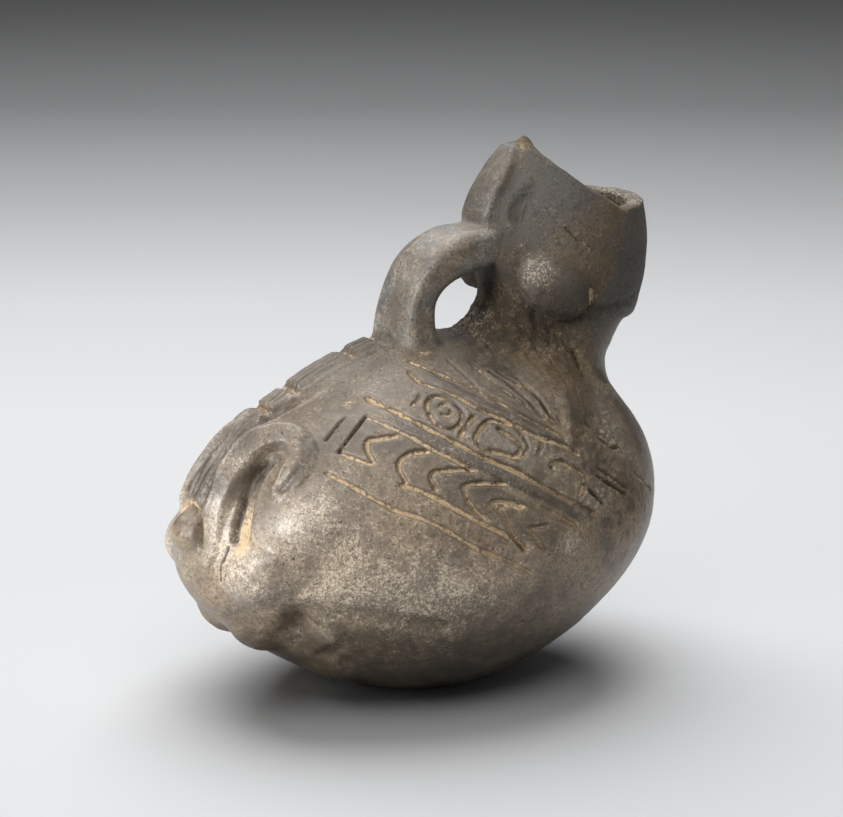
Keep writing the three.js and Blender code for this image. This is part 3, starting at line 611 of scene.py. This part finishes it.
# Paint of the outside goes on over the lip. Lip and inside are tan and a little rough, and paler towards the front:
# painted light where the lip and inner front wall face the lamps.
insideLook = {"lipTan": 0.35, "tan": 0.75, "rough": 0.15, "frontPaintedLight": 1.6, "paleRows": 16}
outerCount, total = len(places), rings.shape[0] * rings.shape[1]
lipEnd = outerCount + grid["lip"] * grid["around"]
paints = {}
for name, values in paint.items():
    onRings = np.zeros(total)
    onRings[:outerCount] = values
    onRings[outerCount:lipEnd] = np.tile(values[-grid["around"]:], grid["lip"])
    if name == "tan":
        onRings[outerCount:lipEnd] += insideLook["lipTan"]
        onRings[lipEnd:] = insideLook["tan"]
    if name == "pale":
        front = insideLook["frontPaintedLight"] * clamp(-np.cos(around[0]) + 0.2)
        paleEnd = outerCount + insideLook["paleRows"] * grid["around"]
        onRings[outerCount:paleEnd] += np.tile(front, insideLook["paleRows"])
    if name == "rough":
        onRings[outerCount:] += insideLook["rough"]
    paints[name] = np.pad(onRings, 1, "edge")
paints["handle"] = np.zeros(total + 2)
bottom = skinOf(vessel["outside"], 0.0, 0.0)
clay = turnedOutwards(meshOfRings("pitcherClay", rings, bottom, skinOf(vessel["inside"], 0.0, 0.0), paints))
print("vessel mesh", len(clay.data.polygons))


# Rounded section: a superellipse, so power 1 is an ellipse and less is squarer.
def section(count, power):
    a = np.linspace(0, 2 * pi, count, endpoint=False)
    return np.sign(np.cos(a)) * abs(np.cos(a)) ** power, np.sign(np.sin(a)) * abs(np.sin(a)) ** power


# Band carried along a path: rings are origin + first * wide * s + second * high * t.
def band(name, origins, second, wide, high, look):
    s, t = section(look["count"], look["power"])
    rings = (
        origins[:, None] + sideways * (wide[:, None] * s[None])[..., None]
        + second[:, None] * (high[:, None] * t[None])[..., None]
    )
    rings = rings + 0.12 * unevenness(rings, 9, 31)[..., None] * second[:, None]
    total = rings.shape[0] * rings.shape[1] + 2
    paints = {label: np.full(total, look.get(label, 0.0)) for label in layers}
    paints["handle"] = np.ones(total)
    for label in ("tan", "pale"):
        spots = np.concatenate([rings[0, :1], rings.reshape(-1, 3), rings[-1, :1]])
        paints[label] = paints[label] * clamp(0.8 + 0.8 * unevenness(spots, 14, 32 + len(label)))
    return turnedOutwards(meshOfRings(name, rings, origins[0], origins[-1], paints))


# Strap handle from the back to the head, in x and z.
strap = {
    "path": [(-0.8, 83), (-1.3, 97), (0.8, 104.8), (5.6, 110.3), (13.8, 113.4), (28.2, 114.6)],
    "wide": 9.3, "high": 3.5, "frames": 110, "count": 96, "power": 0.48, "pale": 0.7, "tan": 0.12, "rough": 0.15,
}
t = np.linspace(0, 1, strap["frames"])
path = curveThrough(strap["path"], t)
ahead = curveThrough(strap["path"], t + 0.01) - curveThrough(strap["path"], t - 0.01)
ahead /= np.linalg.norm(ahead, axis=1, keepdims=True)
flare = 1 + 0.45 * clamp(1 - t / 0.36) ** 2 - 0.2 * ease((t - 0.7) / 0.3)
origins = np.stack([path[:, 0], vessel["spine"] * (1 - t), path[:, 1]], -1)
second = np.stack([-ahead[:, 1], np.zeros(len(t)), ahead[:, 0]], -1)
thick = strap["high"] * (flare + 0.25 + 0.4 * ease((t - 0.3) / 0.5))
handle = band("strapHandle", origins, second, strap["wide"] * flare, thick, strap)

# Ridge up the back of the head: x, z, half-width and half-thickness of each frame.
crest = {
    "frames": [(23.2, 112, 6.2, 3.2), (22.4, 119, 7, 4.4), (25, 126.5, 6.6, 4.2), (28.8, 133.6, 5.6, 3.3),
               (32.6, 139.9, 3.6, 1.9)],
    "count": 72, "steps": 70, "power": 0.58, "tan": 0.05, "rough": 0.2, "dark": 0.95,
}
rows = curveThrough(crest["frames"], np.linspace(0, 1, crest["steps"]))
ending = np.sqrt(clamp(1 - (np.linspace(0, 1, crest["steps"]) - 0.93) / 0.07, 0.05, 1))
origins = np.stack([rows[:, 0], np.full(len(rows), 0.8 * vessel["spine"]), rows[:, 1]], -1)
second = np.tile(np.array([-0.9, 0, 0.44]), (len(rows), 1))
ridge = band("headRidge", origins, second, rows[:, 2] * ending, rows[:, 3] * ending, crest)


# A piece with its modifiers made final.
def settled(made):
    bpy.context.view_layer.update()
    mesh = bpy.data.meshes.new_from_object(made.evaluated_get(bpy.context.evaluated_depsgraph_get()))
    made.modifiers.clear()
    old, made.data = made.data, mesh
    bpy.data.meshes.remove(old)
    return made


for part in (handle, ridge):
    join = clay.modifiers.new("join", "BOOLEAN")
    join.operation, join.solver, join.object = "UNION", "MANIFOLD", part
settled(clay)
for part in (handle, ridge):
    bpy.data.objects.remove(part)
print("joined", len(clay.data.polygons))


# The joints of handle and ridge are smoothed like wetted clay: weights spread out from the joint over the edges,
# then each place moves towards the mean of its neighbours by its weight.
def wetted(mesh, label, spread, growing, rounds, pull):
    count = len(mesh.vertices)
    spot = np.empty(count * 3)
    mesh.vertices.foreach_get("co", spot)
    spot = spot.reshape(-1, 3)
    edges = np.empty(len(mesh.edges) * 2, int)
    mesh.edges.foreach_get("vertices", edges)
    a, b = edges.reshape(-1, 2).T
    part = np.empty(count, np.float32)
    mesh.attributes[label].data.foreach_get("value", part)
    step = np.linalg.norm(spot[a] - spot[b], axis=1) * 1000
    weight = np.zeros(count)
    seam = abs(part[a] - part[b]) > 0.01
    weight[a[seam]] = weight[b[seam]] = 1
    for _ in range(growing):
        grown = weight.copy()
        np.maximum.at(grown, a, weight[b] - step / spread)
        np.maximum.at(grown, b, weight[a] - step / spread)
        weight = grown
    moving = weight > 0
    keep = moving[a] | moving[b]
    a, b = a[keep], b[keep]
    near = np.bincount(a, minlength=count) + np.bincount(b, minlength=count) + 1e-9
    weight = ease(weight) * moving
    labels = [item.name for item in mesh.attributes if item.domain == "POINT" and item.data_type == "FLOAT"]
    columns = np.empty((len(labels), count), np.float32)
    for name, column in zip(labels, columns):
        mesh.attributes[name].data.foreach_get("value", column)
    spot = np.hstack([spot, columns.T])
    for _ in range(rounds):
        mean = np.stack([
            np.bincount(a, spot[b, k], count) + np.bincount(b, spot[a, k], count) for k in range(spot.shape[1])
        ], -1) / near[:, None]
        spot = spot + (pull * weight)[:, None] * (mean - spot)
    for k, name in enumerate(labels):
        mesh.attributes[name].data.foreach_set("value", spot[:, 3 + k].astype(np.float32))
    spot = spot[:, :3]
    mesh.vertices.foreach_set("co", spot.ravel())
    mesh.update()


joint = {"spread": 2.2, "growing": 16, "rounds": 32, "pull": 0.6}
triangles = 188000
wetted(clay.data, "handle", **joint)
print("joints smoothed")

thin = clay.modifiers.new("thin", "DECIMATE")
clay.data.calc_loop_triangles()
thin.ratio = triangles / len(clay.data.loop_triangles)
settled(clay)
clay.data.polygons.foreach_set("use_smooth", np.ones(len(clay.data.polygons), bool))
print("thinned", len(clay.data.polygons))


# A node's output that takes part in sums: each operator adds one Math node.
class Wire:
    tree = None

    def __init__(self, socket):
        self.socket = socket

    @classmethod
    def node(cls, kind, settings=None, inputs=None, out=0):
        made = cls.tree.nodes.new(kind)
        for name, value in (settings or {}).items():
            if name == "stops":
                ramp = made.color_ramp.elements
                while len(ramp) < len(value):
                    ramp.new(0.5)
                for stop, (at, tone) in zip(ramp, value):
                    stop.position, stop.color = at, (*tone, 1)
            else:
                setattr(made, name, value)
        for name, value in (inputs or {}).items():
            socket = made.inputs[name]
            if isinstance(value, Wire):
                cls.tree.links.new(value.socket, socket)
            else:
                socket.default_value = value
        return cls(made.outputs[out]) if made.outputs else None

    @classmethod
    def sums(cls, operation, first, second):
        return cls.node("ShaderNodeMath", {"operation": operation}, {0: first, 1: second})

    def __add__(self, other): return self.sums("ADD", self, other)
    def __sub__(self, other): return self.sums("SUBTRACT", self, other)
    def __rsub__(self, other): return self.sums("SUBTRACT", other, self)
    def __mul__(self, other): return self.sums("MULTIPLY", self, other)
    __radd__, __rmul__ = __add__, __mul__

    # smooth step from 0 at low to 1 at high
    def between(self, low, high):
        return self.node("ShaderNodeMapRange", {"interpolation_type": "SMOOTHSTEP"}, {
            "Value": self, "From Min": low, "From Max": high,
        })

    # one tone laid over another by this much
    def over(self, *pair):
        under, tone = [item if isinstance(item, Wire) else (*item, 1) for item in pair]
        return self.node("ShaderNodeMix", {"data_type": "RGBA"}, {0: self, 6: under, 7: tone}, 2)


# Fired clay: burnished dark grey-brown, tan earth in the grooves, cream wear in specks, painted shade in hollows and
# under the belly and painted highlights on the haunches and rope. Tones, heights in metres between which the finish
# changes, and noises: scale, detail, roughness and distortion.
tones = {
    "body": (0.08, 0.058, 0.038), "bodyLight": (0.255, 0.188, 0.121), "bodyDark": (0.026, 0.018, 0.01),
    "cool": (0.036, 0.036, 0.035), "coolLight": (0.112, 0.11, 0.101), "coolDark": (0.021, 0.021, 0.02),
    "earth": (0.135, 0.084, 0.034), "ochre": (0.5, 0.31, 0.12), "tan": (0.52, 0.39, 0.245),
    # pale tone for rubbed places, also laid on as a painted sheen
    "cream": (0.66, 0.58, 0.465), "wornPaleAndSheen": (0.34, 0.29, 0.235), "black": (0.012, 0.01, 0.008),
}
zones = {"coolHead": (0.084, 0.104), "head": (0.078, 0.1), "upper": (0.04, 0.075), "under": (0.008, 0.03)}
noises = {
    "broad": (26, 5, 0.6, 0.5), "cloud": (90, 6, 0.65, 0.4), "patch": (260, 5, 0.65, 0.3), "grain": (900, 5, 0.7, 0),
    "fine": (3200, 2, 0.6, 0), "fleck": (1500, 4, 0.75, 0.2), "pits": (1000, 3, 0.6, 0),
    "spark": (2100, 2, 0.6, 0),
}
finish = {"gloss": 0.32, "coat": 0.24, "coatRoughness": 0.34, "bump": 0.75, "bumpDistance": 0.0009}
material = bpy.data.materials.new("clay")
material.use_nodes = True
material.node_tree.nodes.clear()
Wire.tree = material.node_tree
place = Wire.node("ShaderNodeTexCoord", out=3)
height = Wire.node("ShaderNodeSeparateXYZ", inputs={"Vector": place}, out=2)
fill, tan, dark, pale, rough, sheen, onHandle = [
    Wire.node("ShaderNodeAttribute", {"attribute_name": name}, out=2) for name in (*layers, "handle")
]
broad, cloud, patch, grain, fine, fleck, pits, spark = [
    Wire.node("ShaderNodeTexNoise", {}, {
        "Vector": place, "Scale": scale, "Detail": detail, "Roughness": roughness, "Distortion": distortion,
    })
    for scale, detail, roughness, distortion in noises.values()
]

# Ground: brown body and cool head, both lighter in clouds.
# pale mask: rubbed wear and painted highlights
rubbedAndHighlit = pale.between(0.0, 2.0)
onHead = height.between(*zones["head"]) * (1 - onHandle * 0.85)
upper = height.between(*zones["upper"]) * (1 - onHandle)
# darker towards the bottom: painted shade under the belly
under = 1 - height.between(*zones["under"])
cool = (height.between(*zones["coolHead"]) * 0.9 + onHandle * 0.5 - tan * 0.5).between(0.1, 0.9)
cool = cool * (cloud.between(0.38, 0.58) * 0.75 + 0.25)
deep, light = cool.over(tones["body"], tones["cool"]), cool.over(tones["bodyLight"], tones["coolLight"])
shade = (broad * 0.35 + cloud * 0.5 + patch * 0.45 + fleck * 0.15 - 0.225).between(0.38, 0.62)
tint = (shade * (1 - upper * 0.55)).over(deep, light)

# Masks: painted layers, broken up by noise.
earthy = (tan * (cloud.between(0.35, 0.6) * 0.8 + 0.4) + patch.between(0.52, 0.68) * 0.35 - 0.05).between(0.05, 1.1)
# dark mask: darker tone of plates, bands and crest, random dark patches, and painted shade in cuts, hollows and under
# the head
shadeAndDarkPatches = (dark * (cloud.between(0.32, 0.62) * 0.7 + 0.5) + broad.between(0.55, 0.68) * 0.4).between(0.1, 1.15)
darkHead = onHead * (patch.between(0.35, 0.65) * 0.4 + 0.55) * (1 - tan.between(0.2, 1.2) * 0.4 - rubbedAndHighlit * 0.5)
ochreSpot = (tan * 0.7 + 0.15) * patch.between(0.46, 0.62) * spark.between(0.5, 0.66)
speck = (fleck - 0.5) * 1.3 + (fine - 0.5) * 0.8
mottle = (speck + (patch - 0.5) * 0.7 + (cloud - 0.5) * 0.45 + rubbedAndHighlit * 0.14).between(0.10, 0.24)
darkFleck = ((grain - 0.5) * 0.9 + (fine - 0.5) * 0.9 + (spark - 0.5) * 0.5 + (patch - 0.5) * 0.4).between(0.06, 0.15)
pitted = pits.between(0.65, 0.70)
broken = grain.between(0.38, 0.58) * 0.8 + patch.between(0.38, 0.58) * 0.4 + 0.25
inGroove = (fill * broken + (fine - 0.5) * 0.6).between(0.28, 0.75)

# Coats over the ground, in order: how much of each and its tone. The dark coat near the bottom is painted shade under
# the belly, the dark mask is partly painted shade, and the pale coat is rubbed wear and painted sheen, where cream
# gathers too.
coats = [
    (earthy * 0.8, "earth"), (upper * (1 - onHead) * 0.42 + under * 0.8, "bodyDark"), (darkHead, "coolDark"),
    # pale coat: rubbed wear and painted sheen
    (rubbedAndHighlit * (1 - onHead * 0.5) * 0.32 + sheen * 0.2, "wornPaleAndSheen"), (shadeAndDarkPatches * 0.85, "bodyDark"),
    (ochreSpot * 0.4, "ochre"), (mottle * (rubbedAndHighlit * 0.36 - onHead * 0.06 + 0.2), "cream"),
    (darkFleck * (onHead * 0.2 + 0.7), "bodyDark"), (pitted * 0.85, "black"),
    (inGroove * (fleck.between(0.4, 0.6) * 0.35 + 0.55), "tan"),
]
for amount, tone in coats:
    tint = amount.over(tint, tones[tone])

gloss = (
    finish["gloss"] - sheen * 0.04 + rough * 0.25 + fill * 0.3 + mottle * 0.12 + earthy * 0.14
    + darkFleck * 0.08 + onHead * 0.22 + cloud.between(0.35, 0.65) * 0.1
)
coated = (1 - onHead * 0.9 - rough * 0.8 - tan * 0.4 - mottle * 0.3 - fill).between(0.0, 1.0)
worn = rough * 0.6 + tan * 0.25 + rubbedAndHighlit * 0.12 + onHead * 0.6 + 0.18
bumpHeight = patch * 0.35 - pitted * 0.5 + (grain * 1.1 + fleck * 0.7 + fine * 0.4) * worn - darkFleck * 0.1
bump = Wire.node("ShaderNodeBump", {}, {
    "Strength": finish["bump"], "Distance": finish["bumpDistance"], "Height": bumpHeight,
})
shader = Wire.node("ShaderNodeBsdfPrincipled", {}, {
    "Base Color": tint, "Roughness": gloss, "Normal": bump, "Specular IOR Level": 0.5, "Metallic": 0.0,
    "Coat Weight": coated * (sheen * 0.4 + finish["coat"]), "Coat Roughness": finish["coatRoughness"],
})
Wire.node("ShaderNodeOutputMaterial", {}, {"Surface": shader})
clay.data.materials.clear()
clay.data.materials.append(material)
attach(clay, "root")
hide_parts("pitcher")
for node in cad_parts.values():
    node.data.materials.clear()
    node.data.materials.append(material)
print("clay finish")

# Plain pale floor whose colour darkens with distance behind the pitcher, a painted falloff of light: distance in
# metres and grey, a little cool.
floorLook = {
    "half": 4.0, "from": -0.2, "to": 1.2, "cool": (1, 1.018, 1.045), "roughness": 0.9,
    "stops": [(-0.2, 0.74), (0.0, 0.675), (0.1, 0.625), (0.25, 0.59), (0.43, 0.495), (0.62, 0.335),
              (0.88, 0.19), (1.17, 0.165)],
}
corners = np.array([(-1, -1, 0), (1, -1, 0), (1, 1, 0), (-1, 1, 0)]) * floorLook["half"]
floorMesh = bpy.data.meshes.new("floor")
floorMesh.from_pydata(corners.tolist(), [], [(0, 1, 2, 3)])
floor = bpy.data.objects.new("floor", floorMesh)
bpy.context.scene.collection.objects.link(floor)
paper = bpy.data.materials.new("paper")
paper.use_nodes = True
Wire.tree = paper.node_tree
spot = Wire.node("ShaderNodeTexCoord", out=3)
spotX, spotY = [Wire.node("ShaderNodeSeparateXYZ", inputs={"Vector": spot}, out=k) for k in (0, 1)]
behind = spotX * sin(radians(view["turn"])) + spotY * cos(radians(view["turn"]))
floorSpan = floorLook["to"] - floorLook["from"]
shaded = Wire.node("ShaderNodeValToRGB", {"stops": [
    ((far - floorLook["from"]) / floorSpan, [grey * share for share in floorLook["cool"]])
    for far, grey in floorLook["stops"]
]}, {"Fac": (behind - floorLook["from"]) * (1 / floorSpan)})
paperInputs = paper.node_tree.nodes["Principled BSDF"].inputs
paper.node_tree.links.new(shaded.socket, paperInputs["Base Color"])
paperInputs["Roughness"].default_value = floorLook["roughness"]
floorMesh.materials.append(paper)

room = {"colour": (0.9, 0.92, 0.96, 1), "strength": 0.07}
world = bpy.data.worlds.new("room")
bpy.context.scene.world = world
world.use_nodes = True
background = world.node_tree.nodes["Background"].inputs
background["Color"].default_value, background["Strength"].default_value = room["colour"], room["strength"]


# Placing of a lamp or the camera, whose own axes point right, up and back.
def placing(right, up, back, at):
    return Matrix(np.vstack([np.column_stack([right, up, back, at]), [0, 0, 0, 1]]).tolist())


# Soft studio lights, each placed from the middle of the pitcher: to the right, up and towards the eye, in metres.
# All but the first two shine on the pitcher alone, so the floor has the one shadow.
lights = {
    "behind": {"at": (-0.12, 0.85, -0.5), "size": 1.15, "power": 14.5, "colour": (1, 0.995, 0.985)},
    "above": {"at": (0, 0.9, 0.4), "size": 1, "power": 3.3, "colour": (1, 0.99, 0.975)},
    "leftFront": {"at": (-0.64, 0.42, 0.62), "size": 0.4, "power": 12.5, "colour": (1, 0.985, 0.96)},
    "leftEdge": {"at": (-0.88, 0.5, 0.04), "size": 0.4, "power": 2.6, "colour": (1, 0.99, 0.97)},
    "leftLow": {"at": (-0.92, 0.14, 0.36), "size": 0.6, "power": 5, "colour": (1, 0.985, 0.965)},
    "rightTop": {"at": (0.62, 0.75, 0.3), "size": 0.5, "power": 3.8, "colour": (1, 0.985, 0.95)},
}
flatBack = np.array([viewBack[0], viewBack[1], 0]) / np.hypot(viewBack[0], viewBack[1])
middle = np.array([0, 0, 0.055])
pitcherOnly = bpy.data.collections.new("pitcherOnly")
pitcherOnly.objects.link(clay)
for name, light in lights.items():
    lamp = bpy.data.lights.new(name, "AREA")
    lamp.shape, lamp.size, lamp.energy, lamp.color = "DISK", light["size"], light["power"], light["colour"]
    right, up, towards = light["at"]
    at = middle + viewRight * right + flatBack * towards + np.array([0, 0, up])
    toLamp = (at - middle) / np.linalg.norm(at - middle)
    lampRight = np.cross([0, 0, 1], toLamp)
    lampRight /= np.linalg.norm(lampRight)
    holder = bpy.data.objects.new(name, lamp)
    holder.matrix_world = placing(lampRight, np.cross(toLamp, lampRight), toLamp, at)
    if name not in ("behind", "above"):
        holder.light_linking.receiver_collection = pitcherOnly
    bpy.context.scene.collection.objects.link(holder)

lens = bpy.data.cameras.new("camera")
lens.lens, lens.sensor_width, lens.clip_start, lens.clip_end = view["lens"], view["film"], 0.05, 20
camera = bpy.data.objects.new("camera", lens)
camera.matrix_world = placing(viewRight, viewUp, viewBack, eye / 1000)
bpy.context.scene.collection.objects.link(camera)
bpy.context.scene.camera = camera
bpy.context.scene.view_settings.view_transform = "Standard"
print("lights and camera")

bpy.context.view_layer.update()
